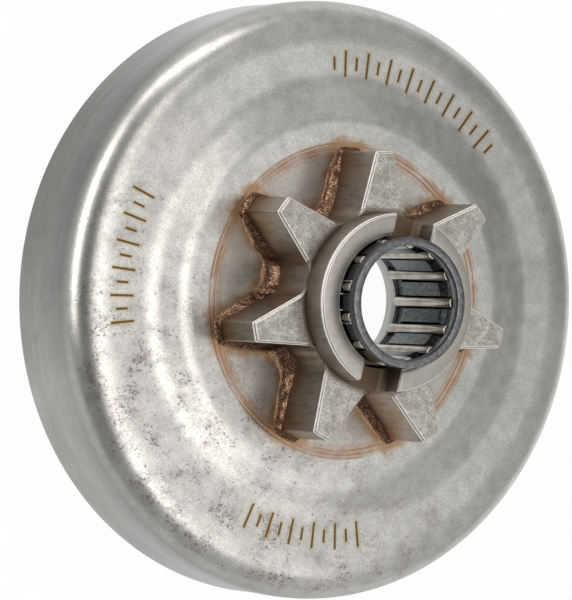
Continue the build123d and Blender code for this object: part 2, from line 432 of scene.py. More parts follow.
def drum_steel():
    material, tree = new_finish("turned_and_tumbled_steel")
    position, radius, angle, height = places(tree)
    steel = clouded(tree, position)
    steel = pitted(tree, position, radius, steel)
    coppered = copper_ringed_and_shaded(tree, position, radius, steel)
    coppered = flank_stained(tree, position, radius, angle, coppered)
    outside = add(tree, "ShaderNodeMath", {0: height, 1: SEAT_Z - 1.0}, operation="GREATER_THAN")
    steel = add(tree, "ShaderNodeMix", {"Factor": outside, "A": steel, "B": coppered}, data_type="RGBA")
    steel = marked(tree, radius, angle, height, steel)
    stretched = add(tree, "ShaderNodeVectorMath", {0: position, 1: TURNING_STRETCH}, operation="MULTIPLY")
    rings = add(tree, "ShaderNodeTexNoise", {"Vector": stretched, "Scale": 1.0, "Detail": 3.0})
    wall = add(tree, "ShaderNodeMapRange", {
        "Value": height, "From Min": TURN_TOP + TURN_RISE, "From Max": TURN_TOP})
    line = add(tree, "ShaderNodeMapRange", {
        "Value": rings, "From Min": 0.4, "From Max": 0.7, "To Min": 0.5, "To Max": 0.85})
    line = add(tree, "ShaderNodeMix", {"Factor": wall, "A": 0.75, "B": line}, data_type="FLOAT")
    low = add(tree, "ShaderNodeMapRange", {"Value": height, "From Min": SIDE_TOP, "From Max": SIDE_TOP - 2.0})
    steel = laid(tree, steel, (overlap(tree, line, low), "#888786"))
    grain = add(tree, "ShaderNodeTexNoise", {"Vector": position, "Scale": 1 / GRAIN_SIZE, "Detail": 2.0})
    relief = add(tree, "ShaderNodeMix", {"Factor": wall, "A": grain, "B": rings}, data_type="FLOAT")
    rough = add(tree, "ShaderNodeMapRange", {"Value": relief, "To Min": 0.24, "To Max": 0.36})
    close_finish(tree, steel, rough, relief, STEEL_RELIEF)
    return material


# %% [markdown]
# ## Sprocket steel
# The sprocket is pressed from powder and sintered. The punch leaves its flat tops with an open, mottled
# grain, and the die draws its flanks smooth, with upright streaks. Handling has rubbed the edges bright,
# and they also carry a painted highlight. The collar's top is painted lighter, as painted light.
# Copper and heat have browned the flanks from their feet up; the collar darkens to brown towards its foot.
# All of this goes by height and radius, so no image texture is needed.

# %% Sprocket steel finish
TOOTH_TOP_Z = SEAT_Z + TOOTH_HEIGHT
POWDER_SIZE = 0.22
SMEAR_SIZE = 1.1
STREAK_SIZE = 0.5
STREAK_STRETCH = 0.22
FLAT_LIMIT = 0.03
EDGE_CHAMFER = 0.33
EDGE_WEAR = 0.08
COLLAR_CHAMFER = 0.32
COLLAR_FOOT_RADIUS = 11.6
FOOT_DARK_RISE = 5.4


def flat_and_worn_highlit_edge(tree, radius, height):
    """Masks of the flat tops, and of the two worn edges of each chamfer below them, to paint a highlight."""
    flat = None
    edge = None
    for top, drop, inside in ((TOOTH_TOP_Z, EDGE_CHAMFER, COLLAR_FOOT_RADIUS), (COLLAR_Z, COLLAR_CHAMFER, 0)):
        this_flat = add(tree, "ShaderNodeMath", {0: height, 1: top, 2: FLAT_LIMIT}, operation="COMPARE")
        upper = add(tree, "ShaderNodeMath", {
            0: height, 1: top - FLAT_LIMIT - EDGE_WEAR / 2, 2: EDGE_WEAR / 2}, operation="COMPARE")
        lower = add(tree, "ShaderNodeMath", {0: height, 1: top - drop, 2: EDGE_WEAR}, operation="COMPARE")
        both = add(tree, "ShaderNodeMath", {0: upper, 1: lower}, operation="MAXIMUM")
        clear = add(tree, "ShaderNodeMath", {0: radius, 1: inside}, operation="GREATER_THAN")
        both = overlap(tree, both, clear)
        flat = add(tree, "ShaderNodeMath", {0: this_flat, 1: flat or 0.0}, operation="MAXIMUM")
        edge = add(tree, "ShaderNodeMath", {0: both, 1: edge or 0.0}, operation="MAXIMUM")
    return flat, edge


def sprocket_steel():
    material, tree = new_finish("sintered_steel")
    position, radius, angle, height = places(tree)
    flat, edge = flat_and_worn_highlit_edge(tree, radius, height)
    powder = add(tree, "ShaderNodeTexNoise", {"Vector": position, "Scale": 1 / POWDER_SIZE, "Detail": 2.0})
    smear = add(tree, "ShaderNodeTexNoise", {"Vector": position, "Scale": 1 / SMEAR_SIZE, "Detail": 4.0})
    speck = add(tree, "ShaderNodeMapRange", {
        "Value": powder, "From Min": 0.42, "From Max": 0.66, "To Max": 0.74})
    speck = overlap(tree, speck, flat)
    mottle = add(tree, "ShaderNodeMapRange", {"Value": smear, "From Min": 0.35, "From Max": 0.65})
    mottle = add(tree, "ShaderNodeMix", {"Factor": flat, "A": 0.5, "B": mottle}, data_type="FLOAT")
    # The collar's top is painted lighter, as painted light.
    top = add(tree, "ShaderNodeMapRange", {
        "Value": height, "From Min": COLLAR_Z - 0.1, "From Max": COLLAR_Z, "To Max": 0.7})

    side = add(tree, "ShaderNodeMath", {0: 1.0, 1: flat}, operation="SUBTRACT")
    above = add(tree, "ShaderNodeMath", {0: height, 1: SEAT_Z - 0.3}, operation="GREATER_THAN")
    ragged = add(tree, "ShaderNodeMath", {0: smear, 1: 2.0, 2: height}, operation="MULTIPLY_ADD")
    brown = add(tree, "ShaderNodeMapRange", {
        "Value": ragged, "From Min": TOOTH_TOP_Z + 2.5, "From Max": SEAT_Z + 1.0, "To Max": 0.95})
    brown = overlap(tree, brown, side, above)
    drawn = add(tree, "ShaderNodeVectorMath", {0: position, 1: (1, 1, STREAK_STRETCH)}, operation="MULTIPLY")
    streak = overlap(tree, pattern(tree, drawn, STREAK_SIZE, 3.0, 0.5, 0.7, most=0.45), side, above)

    # Brown that darkens the collar towards its foot and fades upwards; it is also duller there.
    foot_dark_low = add(tree, "ShaderNodeMapRange", {
        "Value": height, "From Min": TOOTH_TOP_Z - 0.5, "From Max": TOOTH_TOP_Z - 0.25})
    foot_dark_high = add(tree, "ShaderNodeMapRange", {
        "Value": height, "From Min": TOOTH_TOP_Z + FOOT_DARK_RISE, "From Max": TOOTH_TOP_Z})
    foot_dark_in = add(tree, "ShaderNodeMapRange", {
        "Value": radius, "From Min": COLLAR_FOOT_RADIUS, "From Max": COLLAR_FOOT_RADIUS - 0.9, "To Max": 0.97})
    foot_dark = overlap(tree, foot_dark_low, foot_dark_high, foot_dark_in)
    # The edge colour is real wear with a painted highlight laid on it.
    steel = laid(
        tree, paint("#9f9b92"), (mottle, "#c5c1b9"), (speck, "#807c75"), (top, "#bfbcb5"),
        (brown, "#7e6046"), (streak, "#5c4a3b"), (foot_dark, "#645442"), (edge, "#f0eeea"))
    dull = overlap(tree, foot_dark, 0.45)
    dull = add(tree, "ShaderNodeMath", {0: edge, 1: dull}, operation="MAXIMUM")
    rough = add(tree, "ShaderNodeMapRange", {"Value": dull, "To Min": 0.38, "To Max": 0.8})
    close_finish(tree, steel, rough, powder, STEEL_RELIEF)
    return material


# %% [markdown]
# ## Copper braze
# The bead is copper that ran and froze, so it is a smooth fillet with small grains on it. It is dark brown
# against the flanks, where it oxidised, and thins to a tan wash at its outer edge. Its small bright glints
# are painted highlights.

# %% Copper braze finish
OXIDE_SIZE = 0.4
GLINT_SIZE = 0.13
WASH_START = 0.3
WASH_END = 0.9
BRAZE_RELIEF = 0.008


def copper_braze():
    material, tree = new_finish("oxidised_copper_braze")
    position, radius, angle, height = places(tree)
    oxide = add(tree, "ShaderNodeTexNoise", {"Vector": position, "Scale": 1 / OXIDE_SIZE, "Detail": 4.0})
    share = add(tree, "ShaderNodeMapRange", {"Value": oxide, "From Min": 0.35, "From Max": 0.72})
    # Painted highlights: small bright glints laid into the bead's colour.
    glint = pattern(tree, position, GLINT_SIZE, 1.0, 0.58, 0.72)
    gap = flank_gap(tree, radius, angle)
    gap = add(tree, "ShaderNodeMath", {0: oxide, 1: -0.5, 2: gap}, operation="MULTIPLY_ADD")
    wash = add(tree, "ShaderNodeMapRange", {"Value": gap, "From Min": WASH_START, "From Max": WASH_END})
    copper = laid(tree, paint("#3f2c20"), (share, "#775841"), (glint, "#cdb09c"), (wash, "#7c624c"))
    rough = add(tree, "ShaderNodeMapRange", {"Value": oxide, "To Min": 0.5, "To Max": 0.25})
    close_finish(tree, copper, rough, oxide, BRAZE_RELIEF)
    return material


# %% [markdown]
# ## Bearing steels
# The cage is drawn steel strip with a black oxide, which gives a dark slate colour with a slight blue cast.
# Its bars are painted darker, as painted shade in the bore, and its lower ring lighter, as painted light.
# The rollers are hardened and ground, so they are the smoothest pieces.

# %% Bearing finishes
RUB_SIZE = 0.4
OIL_SIZE = 2.2
RING_WIDTH = 1.3
RING_MARGIN = 0.05
ROLLER_RELIEF = 0.002


def cage_steel():
    material, tree = new_finish("black_oxide_steel")
    position, radius, angle, height = places(tree)
    rub = add(tree, "ShaderNodeTexNoise", {"Vector": position, "Scale": 1 / RUB_SIZE, "Detail": 4.0})
    share = add(tree, "ShaderNodeMapRange", {"Value": rub, "From Min": 0.4, "From Max": 0.7})
    ring = laid(tree, paint("#5f6163"), (share, "#7b7d7e"))
    # The bars are painted darker than the rings, as painted shade inside the bore.
    bar = laid(tree, paint("#3c4141"), (share, "#686d6c"))
    ring_foot = CAGE_HIGH - RING_WIDTH - RING_MARGIN
    on_ring = add(tree, "ShaderNodeMath", {0: height, 1: ring_foot}, operation="GREATER_THAN")
    slate = add(tree, "ShaderNodeMix", {"Factor": on_ring, "A": bar, "B": ring}, data_type="RGBA")
    # The lower ring is painted lighter than the upper one, as painted light.
    foot_top = CAGE_LOW + RING_WIDTH + RING_MARGIN
    painted_lit_foot = add(tree, "ShaderNodeMath", {0: height, 1: foot_top}, operation="LESS_THAN")
    slate = laid(tree, slate, (painted_lit_foot, "#a3a5a5"))
    rough = add(tree, "ShaderNodeMapRange", {"Value": rub, "To Min": 0.24, "To Max": 0.4})
    close_finish(tree, slate, rough, rub, STEEL_RELIEF)
    return material


def roller_steel():
    material, tree = new_finish("ground_bearing_steel")
    position, radius, angle, height = places(tree)
    oil = add(tree, "ShaderNodeTexNoise", {"Vector": position, "Scale": 1 / OIL_SIZE, "Detail": 3.0})
    share = add(tree, "ShaderNodeMapRange", {"Value": oil, "From Min": 0.35, "From Max": 0.65})
    steel = laid(tree, paint("#8f8980"), (share, "#b0aaa1"))
    rough = add(tree, "ShaderNodeMapRange", {"Value": oil, "To Min": 0.08, "To Max": 0.2})
    close_finish(tree, steel, rough, oil, ROLLER_RELIEF)
    return material


DRUM_STEEL = drum_steel()
SPROCKET_STEEL = sprocket_steel()
COPPER_BRAZE = copper_braze()
CAGE_STEEL = cage_steel()
ROLLER_STEEL = roller_steel()
print("Finishes:", [finish.name for finish in bpy.data.materials if finish.use_nodes and finish.users == 0])

# %% [markdown]
# ## Drum cup
# One closed section, turned about the axis, makes the whole cup with its inside. The section holds what a
# press and a lathe leave: a wall turned a little smaller than the rolled shoulder, a soft ramp up to the
# land, a land that falls very slightly from the seat, and shallow grooves where the tool ran. Grooves are cut
# into the section itself, so they catch light as real ones do. A point set just beside each small edge keeps
# the shading of the flat next to it flat.

# %% Drum cup
CUP_WALL = 2.4
SHOULDER_Z = LAND_Z - 2.0
CORNER_BEND = 2.0
RIM_ROUND = 0.4
TURN_DEPTH = 0.22
TURN_BEND = 18.0
CROWN_RADIUS = 32.2
CROWN_DROP = 1.1
CROWN_BEND = 10.0
LAND_RADIUS = 22.6
RAMP_WIDTH = 3.9
RAMP_START_RISE = 0.1
RAMP_FOOT_BEND = 7.0
RAMP_TOP_BEND = 2.8
LAND_FALL = 0.045
LAND_BEND = 8.0
FLAT_HOLD = 0.12
SPIGOT_HOLE_RADIUS = 10.05
CUP_TURNS = 360
CUP_SHARP = 24
SEAT_GROOVE_RADII = (19.1, 18.45)
GROOVE_WIDTH = 0.16
GROOVE_DEPTH = 0.015


def cup_section():
    """Closed section of the cup in radius and height."""
    foot = LAND_RADIUS + RAMP_WIDTH
    inner = CUP_RADIUS - CUP_WALL
    turned = CUP_RADIUS - TURN_DEPTH
    return rounded([
        (inner, RIM_Z, RIM_ROUND),
        (turned, RIM_Z, RIM_ROUND),
        (turned, RIM_Z + RIM_ROUND + FLAT_HOLD, 0),
        (turned, TURN_TOP, TURN_BEND),
        (CUP_RADIUS, TURN_TOP + TURN_RISE, TURN_BEND),
        (CUP_RADIUS, SHOULDER_Z - CROWN_DROP, CORNER_BEND + CUP_WALL),
        (CROWN_RADIUS, SHOULDER_Z, CROWN_BEND),
        (foot, SHOULDER_Z + RAMP_START_RISE, RAMP_FOOT_BEND),
        (LAND_RADIUS, LAND_Z - LAND_FALL, RAMP_TOP_BEND + CUP_WALL),
        (SEAT_RADIUS, LAND_Z, LAND_BEND),
        (SEAT_RADIUS - FLAT_HOLD, LAND_Z, 0),
        (SPIGOT_HOLE_RADIUS, LAND_Z, 0),
        (SPIGOT_HOLE_RADIUS, LAND_Z - CUP_WALL, 0),
        (LAND_RADIUS, LAND_Z - CUP_WALL, RAMP_TOP_BEND),
        (foot, SHOULDER_Z + RAMP_START_RISE - CUP_WALL, RAMP_FOOT_BEND + CUP_WALL),
        (inner, SHOULDER_Z - CUP_WALL, CORNER_BEND),
    ])


def scribe(section, radius, depth):
    """Cuts a shallow groove into the upper skin of a section where it crosses the radius."""
    cut = []
    for before, after in zip(section, section[1:] + section[:1]):
        cut.append(before)
        run = after.x - before.x
        if run < 0 and after.x < radius < before.x:
            share = (radius - before.x) / run
            half = 0.5 * GROOVE_WIDTH / -run
            hold = half + FLAT_HOLD / -run
            for step, drop in ((-hold, 0), (-half, 0), (0, depth), (half, 0), (hold, 0)):
                cut.append(before.lerp(after, share + step) - Vector((0, drop)))
    return cut


section = cup_section()
for groove in SEAT_GROOVE_RADII:
    section = scribe(section, groove, GROOVE_DEPTH)
cup_mesh = bmesh.new()
lathe(cup_mesh, section, CUP_TURNS)
clean(cup_mesh)
cup = make_piece("cup_turned", cup_mesh, DRUM_STEEL, sharp=CUP_SHARP)

# %% [markdown]
# ## Sprocket
# Seen along the axis, the teeth are straight flanks between a tip circle and the collar. One function gives
# that outline, stepped in or out by any distance. Stacking the outline makes the toothed plate with a rounded
# upper edge, and the same points drawn in to circles make its bore and its spigot. The collar stands on the
# plate as two arcs, cut by the notches that drive the oil pump.

# %% Sprocket outline
ROOT_ROUND = 2.3
ROOT_FOLLOW = 0.3
LEAST_ROOT_ROUND = 0.1
TIP_ROUND = 0.3
LEAST_TIP_ROUND = 0.05
GULLET_ROUND = 3.0
OUTLINE_STEPS = 8
OUTLINE_SPACING = 0.25


def sprocket_outline(inset, root_inset):
    """Outline of the teeth stepped in by an inset, with the gullets stepped in by their own."""
    narrowing = tan(FLANK_ANGLE)
    foot_half = TIP_WIDTH / 2 + TIP_RADIUS * narrowing - inset / cos(FLANK_ANGLE)
    tip = TIP_RADIUS - inset
    root = COLLAR_RADIUS - root_inset
    tip_x = sqrt(tip ** 2 - (TIP_WIDTH / 2) ** 2)
    spread = 1 + narrowing ** 2
    root_x = (foot_half * narrowing + sqrt(root ** 2 * spread - foot_half ** 2)) / spread
    root_round = max(ROOT_ROUND + ROOT_FOLLOW * root_inset, LEAST_ROOT_ROUND)
    tip_round = max(TIP_ROUND - inset, LEAST_TIP_ROUND)
    tooth = [
        (root_x, -(foot_half - root_x * narrowing), root_round),
        (tip_x, -(foot_half - tip_x * narrowing), tip_round),
    ]
    tooth.append((tip, 0, 0))
    tooth += [(x, -y, bend) for x, y, bend in reversed(tooth[:2])]
    half_pitch = pi / TOOTH_COUNT
    tooth.append((root * cos(half_pitch), root * sin(half_pitch), GULLET_ROUND))
    corners = []
    for number in range(TOOTH_COUNT):
        turn = Matrix.Rotation(2 * half_pitch * number, 2)
        corners += [(*(turn @ Vector((x, y))), bend) for x, y, bend in tooth]
    return corners


def divided(outline, counts):
    """Outline with each run divided into its own count of equal steps."""
    fine = []
    for start, end, count in zip(outline, outline[1:] + outline[:1], counts):
        fine += [start.lerp(end, step / count) for step in range(count)]
    return fine


def sprocket_loop(inset, root_inset):
    """Finely divided outline, with the same count of points whatever the insets are."""
    return divided(rounded(sprocket_outline(inset, root_inset), OUTLINE_STEPS), OUTLINE_COUNTS)


foot = rounded(sprocket_outline(0, 0), OUTLINE_STEPS)
runs = [(end - start).length for start, end in zip(foot, foot[1:] + foot[:1])]
OUTLINE_COUNTS = [max(1, round(run / OUTLINE_SPACING)) for run in runs]
print("Sprocket outline has", sum(OUTLINE_COUNTS), "points")

# %% [markdown]
# The plate's rows go round its whole skin: up the flanks, over the rounded edge, across the top to a shallow
# groove at the collar's foot, down the bore, and back over the spigot. A row is the outline drawn in until no
# point lies outside a limiting radius, so the same points serve for teeth and for circles.

# %% Sprocket plate
COLLAR_GROOVE_WIDTH = 0.5
COLLAR_GROOVE_DEPTH = 0.2
BORE_RADIUS = 8.04
SPIGOT_RADIUS = 10.0
SPIGOT_CHAMFER = 0.4
EDGE_STEPS = 3


def drawn_in(mesh, outline, limit, height):
    """Row of vertices over an outline, with no point outside the limiting radius."""
    spots = [(min(point.length, limit), atan2(point.y, point.x), height) for point in outline]
    return [mesh.verts.new(spot(*place)) for place in spots]


def sprocket_plate(mesh):
    """Toothed plate with its bore and spigot, as one closed skin."""
    rows = [drawn_in(mesh, sprocket_loop(0, 0), TIP_RADIUS, SEAT_Z)]
    edge = rounded([
        (0, EDGE_CHAMFER + 3 * EDGE_WEAR, 0), (0, EDGE_CHAMFER, EDGE_WEAR), (EDGE_CHAMFER, 0, EDGE_WEAR),
        (EDGE_CHAMFER + EDGE_WEAR, 0, 0), (EDGE_CHAMFER, EDGE_CHAMFER, 0)], EDGE_STEPS)[:-1]
    for inset, drop in edge:
        crown = sprocket_loop(inset, 0)
        rows.append(drawn_in(mesh, crown, TIP_RADIUS, TOOTH_TOP_Z - drop))
    groove = COLLAR_RADIUS + COLLAR_GROOVE_WIDTH
    circles = [
        (groove, TOOTH_TOP_Z),
        (groove, TOOTH_TOP_Z - COLLAR_GROOVE_DEPTH),
        (COLLAR_RADIUS, TOOTH_TOP_Z - COLLAR_GROOVE_DEPTH),
        (COLLAR_RADIUS, TOOTH_TOP_Z),
        (BORE_RADIUS, TOOTH_TOP_Z),
        (BORE_RADIUS, SPIGOT_Z),
        (SPIGOT_RADIUS - SPIGOT_CHAMFER, SPIGOT_Z),
        (SPIGOT_RADIUS, SPIGOT_Z + SPIGOT_CHAMFER),
        (SPIGOT_RADIUS, SEAT_Z),
    ]
    rows += [drawn_in(mesh, crown, radius, height) for radius, height in circles]
    skin(mesh, rows)


# %% [markdown]
# Each half of the collar is a block that bends round the bore. Its ends are the notches' flat sides, which
# run out to the plate in a fillet, so an end's place across the notch depends on its height.

# %% Collar
NOTCH_HALF = 2.8
NOTCH_FILLET = 0.9
FILLET_STEPS = 5
BORE_CHAMFER = 0.5
COLLAR_SINK = 0.1
COLLAR_TURNS = 72
COLLAR_EDGE = 0.12
COLLAR_EDGE_ANGLE = 30


def collar_levels():
    """Height, notch side, inner radius and outer radius, from the collar's foot to its top."""
    levels = [(TOOTH_TOP_Z - COLLAR_SINK, NOTCH_HALF - NOTCH_FILLET, BORE_RADIUS, COLLAR_RADIUS)]
    for step in range(FILLET_STEPS + 1):
        turn = pi / 2 * step / FILLET_STEPS
        side = NOTCH_HALF - NOTCH_FILLET * (1 - sin(turn))
        levels.append((TOOTH_TOP_Z + NOTCH_FILLET * (1 - cos(turn)), side, BORE_RADIUS, COLLAR_RADIUS))
    levels.append((COLLAR_Z - BORE_CHAMFER, NOTCH_HALF, BORE_RADIUS, COLLAR_RADIUS))
    levels.append((COLLAR_Z, NOTCH_HALF, BORE_RADIUS + BORE_CHAMFER, COLLAR_RADIUS - COLLAR_CHAMFER))
    return levels


def collar_half(mesh, facing):
    """Half of the collar, facing the given angle."""
    levels = collar_levels()
    loop = [(outer, side, height) for height, side, inner, outer in levels]
    loop += [(inner, side, height) for height, side, inner, outer in reversed(levels)]
    rows = []
    for turn in range(COLLAR_TURNS + 1):
        share = 2 * turn / COLLAR_TURNS - 1
        rows.append([mesh.verts.new(spot(r, facing + share * acos(side / r), z)) for r, side, z in loop])
    skin(mesh, rows, ring=False)
    for row in (rows[0], rows[-1]):
        for level in range(len(levels) - 1):
            mesh.faces.new((row[level], row[level + 1], row[-level - 2], row[-level - 1]))


collar_mesh = bmesh.new()
for facing in (0, pi):
    collar_half(collar_mesh, facing)
clean(collar_mesh)
collar = make_piece("collar_halves", collar_mesh)
bevel = collar.modifiers.new("worn_edges", "BEVEL")
bevel.width = COLLAR_EDGE * MM
bevel.segments = 2
bevel.limit_method = "ANGLE"
bevel.angle_limit = radians(COLLAR_EDGE_ANGLE)
settle(collar)

sprocket_mesh = bmesh.new()
sprocket_plate(sprocket_mesh)
clean(sprocket_mesh)
sprocket_mesh.from_mesh(collar.data)
bpy.data.objects.remove(collar)
sprocket = make_piece("sprocket_sintered", sprocket_mesh, SPROCKET_STEEL)

# %% [markdown]
# ## Braze bead
# The bead follows the foot of the teeth, so the sprocket's own outline, stepped outwards, gives its rows. A
# Geometry Nodes tree then freezes it: noise swells the skin into lumps and lets it climb the flanks unevenly,
# and small grains are scattered over it. A fixed seed keeps every run the same.

# %% Braze bead
BEAD_LEG = BEAD_RADIUS - TIP_RADIUS
BEAD_STEPS = 6
BEAD_HIDDEN = 0.1
BEAD_HOLLOW = 2.6
BEAD_SHARP = 60
SWELL_PEAK = 4 / 27
POOL_REACH = 1.7
POOL_RISE = 1.8
POOL_RADIUS = 11.0
FLANK_RADIUS = 14.5
TIP_SHARE = 0.5


def bead_rows():
    """Step outwards, height and climb of each row of the bead, from the flank to the seat and back."""
    tall = BEAD_Z - SEAT_Z
    rows = []
    for step in range(BEAD_STEPS + 1):
        share = step / BEAD_STEPS
        rows.append((BEAD_LEG * share, tall * (1 - share) ** BEAD_HOLLOW, 1 - share))
    return rows + [(BEAD_LEG, -BEAD_HIDDEN, 0), (-BEAD_HIDDEN, -BEAD_HIDDEN, 0), (-BEAD_HIDDEN, tall, 1)]


bead_mesh = bmesh.new()
climb_layer = bead_mesh.verts.layers.float.new("climb")
swell_layer = bead_mesh.verts.layers.float.new("swell")
feet = sprocket_loop(0, 0)
rows = []
for out, rise, climb in bead_rows():
    outline = sprocket_loop(-out, -out * POOL_REACH)
    row = []
    for start, end in zip(feet, outline):
        past = start.length - FLANK_RADIUS
        pool = min(max(-past / (FLANK_RADIUS - POOL_RADIUS), 0), 1)
        tip = min(max(past / (TIP_RADIUS - FLANK_RADIUS), 0), 1)
        size = 1 - (1 - TIP_SHARE) * tip ** 2
        height = LAND_Z + rise * size * (1 + (POOL_RISE - 1) * pool)
        vertex = bead_mesh.verts.new((*(start.lerp(end, size) * MM), height * MM))
        vertex[climb_layer] = climb
        vertex[swell_layer] = climb ** 2 * (1 - climb) / SWELL_PEAK
        row.append(vertex)
    rows.append(row)
skin(bead_mesh, rows)
bmesh.ops.recalc_face_normals(bead_mesh, faces=bead_mesh.faces)
bead = make_piece("braze_bead", bead_mesh, sharp=BEAD_SHARP)

# %% Braze tree
LUMP_SIZE = 0.7
LUMP_HEIGHT = 0.16
CLIMB_SIZE = 2.0
CLIMB_HEIGHT = 0.7
GRAINS_PER_SQUARE_MM = 2.5
GRAIN_RADIUS = 0.07
BRAZE_SEED = 7


def open_tree(name, inputs):
    """Geometry Nodes tree with named inputs, and the sockets that give them."""
    tree = bpy.data.node_groups.new(name, "GeometryNodeTree")
    for label, kind in inputs.items():
        tree.interface.new_socket(name=label, in_out="INPUT", socket_type=kind)
    tree.interface.new_socket(name="Result", in_out="OUTPUT", socket_type="NodeSocketGeometry")
    return tree, add(tree, "NodeGroupInput").node.outputs


def use_tree(piece, tree, values):
    """Gives a piece the tree as a modifier, with its inputs set by their identifiers, and settles it."""
    modifier = piece.modifiers.new(tree.name, "NODES")
    modifier.node_group = tree
    for item in tree.interface.items_tree:
        if item.name in values:
            modifier[item.identifier] = values[item.name]
    settle(piece)


def braze_tree():
    tree, given = open_tree("frozen_braze", {
        "Bead": "NodeSocketGeometry",
        "Lump scale": "NodeSocketFloat", "Lump height": "NodeSocketFloat",
        "Climb scale": "NodeSocketFloat", "Climb height": "NodeSocketFloat",
        "Grain density": "NodeSocketFloat", "Grain radius": "NodeSocketFloat",
        "Seed": "NodeSocketInt", "Finish": "NodeSocketMaterial"})
    swell = add(tree, "GeometryNodeInputNamedAttribute", {"Name": "swell"}, data_type="FLOAT")
    climb = add(tree, "GeometryNodeInputNamedAttribute", {"Name": "climb"}, data_type="FLOAT")
    lump = add(tree, "ShaderNodeTexNoise", {"Scale": given["Lump scale"], "Detail": 3.0})
    lump = add(tree, "ShaderNodeMapRange", {"Value": lump, "From Min": 0.35, "From Max": 0.7})
    lump = overlap(tree, lump, swell, given["Lump height"])
    normal = add(tree, "GeometryNodeInputNormal")
    push = add(tree, "ShaderNodeVectorMath", {0: normal, "Scale": lump}, operation="SCALE")
    rise = add(tree, "ShaderNodeTexNoise", {"Scale": given["Climb scale"], "Detail": 2.0})
    rise = add(tree, "ShaderNodeMapRange", {"Value": rise, "From Min": 0.45, "From Max": 0.75})
    rise = overlap(tree, rise, climb, given["Climb height"])
    lift = add(tree, "ShaderNodeCombineXYZ", {"Z": rise})
    offset = add(tree, "ShaderNodeVectorMath", {0: push, 1: lift}, operation="ADD")
    bead = add(tree, "GeometryNodeSetPosition", {"Geometry": given["Bead"], "Offset": offset})
    free = add(tree, "FunctionNodeCompare", {0: swell, 1: 0.3}, data_type="FLOAT", operation="GREATER_THAN")
    points = add(tree, "GeometryNodeDistributePointsOnFaces", {
        "Mesh": bead, "Selection": free, "Density": given["Grain density"], "Seed": given["Seed"]})
    grain = add(tree, "GeometryNodeMeshIcoSphere", {"Radius": given["Grain radius"], "Subdivisions": 1})
    size = add(tree, "FunctionNodeRandomValue", {
        "Min": 0.35, "Max": 1.0, "Seed": given["Seed"]}, data_type="FLOAT")
    grains = add(tree, "GeometryNodeInstanceOnPoints", {"Points": points, "Instance": grain, "Scale": size})
    joined = add(tree, "GeometryNodeJoinGeometry", {"Geometry": [bead, grains]})
    whole = add(tree, "GeometryNodeRealizeInstances", {"Geometry": joined})
    smooth = add(tree, "GeometryNodeSetShadeSmooth", {"Geometry": whole})
    finished = add(tree, "GeometryNodeSetMaterial", {"Geometry": smooth, "Material": given["Finish"]})
    add(tree, "NodeGroupOutput", {"Result": finished})
    return tree


use_tree(bead, braze_tree(), {
    "Lump scale": 1 / (LUMP_SIZE * MM), "Lump height": LUMP_HEIGHT * MM,
    "Climb scale": 1 / (CLIMB_SIZE * MM), "Climb height": CLIMB_HEIGHT * MM,
    "Grain density": GRAINS_PER_SQUARE_MM / MM ** 2, "Grain radius": GRAIN_RADIUS * MM,
    "Seed": BRAZE_SEED, "Finish": COPPER_BRAZE})

# %% [markdown]
# ## Bearing cage
# The cage is strip metal with a pocket for each roller, so what is left between the pockets is a ring of
# equal bars, bent inwards in the middle. One bar is modelled between two pockets, and a Geometry Nodes tree
# repeats it round the axis. The two end rings are turned.

# %% Cage bar
ROLLER_NODES = sorted(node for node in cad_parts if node.startswith("needle_roller"))
ROLLER_COUNT = len(ROLLER_NODES)
RING_INNER = 6.9
RING_ROUND = 0.12
BAR_INNER = 6.75
BAR_SHEET = 0.55
BAR_BEND = 0.35
LAND_WIDTH = 1.5
SLOPE_WIDTH = 0.8
POCKET_HALF = 0.81
BAR_TURNS = 6
BAR_OVERLAP = 0.2


def bar_outline():
    """Section of a bar in radius and height: bent inwards in the middle, with a land at each end."""
    middle = (CAGE_LOW + CAGE_HIGH) / 2
    end = (CAGE_HIGH - CAGE_LOW) / 2 - RING_WIDTH + BAR_OVERLAP
    slope_top = end - BAR_OVERLAP - LAND_WIDTH
    slope_foot = slope_top - SLOPE_WIDTH
    inner = [
        (BAR_INNER, slope_foot, BAR_BEND),
        (CAGE_RADIUS - BAR_SHEET, slope_top, BAR_BEND),
        (CAGE_RADIUS - BAR_SHEET, end, 0),
    ]
    outer = [
        (CAGE_RADIUS, end, 0),
        (CAGE_RADIUS, slope_top, BAR_BEND),
        (BAR_INNER + BAR_SHEET, slope_foot, BAR_BEND),
    ]
    upper = inner + outer
    lower = [(radius, -height, bend) for radius, height, bend in reversed(upper)]
    return [(radius, middle + height, bend) for radius, height, bend in upper + lower]


def cage_bar(mesh):
    """One bar, whose two sides are the flat walls of the pockets beside it."""
    section = rounded(bar_outline())
    half_pitch = pi / ROLLER_COUNT
    rows = []
    for turn in range(BAR_TURNS + 1):
        share = 2 * turn / BAR_TURNS - 1
        spots = [(r, share * (half_pitch - asin(POCKET_HALF / r)), z) for r, z in section]
        rows.append([mesh.verts.new(spot(*place)) for place in spots])
    skin(mesh, rows, ring=False)
    for row in (rows[0], rows[-1]):
        mesh.faces.new(row)
    bmesh.ops.recalc_face_normals(mesh, faces=mesh.faces)


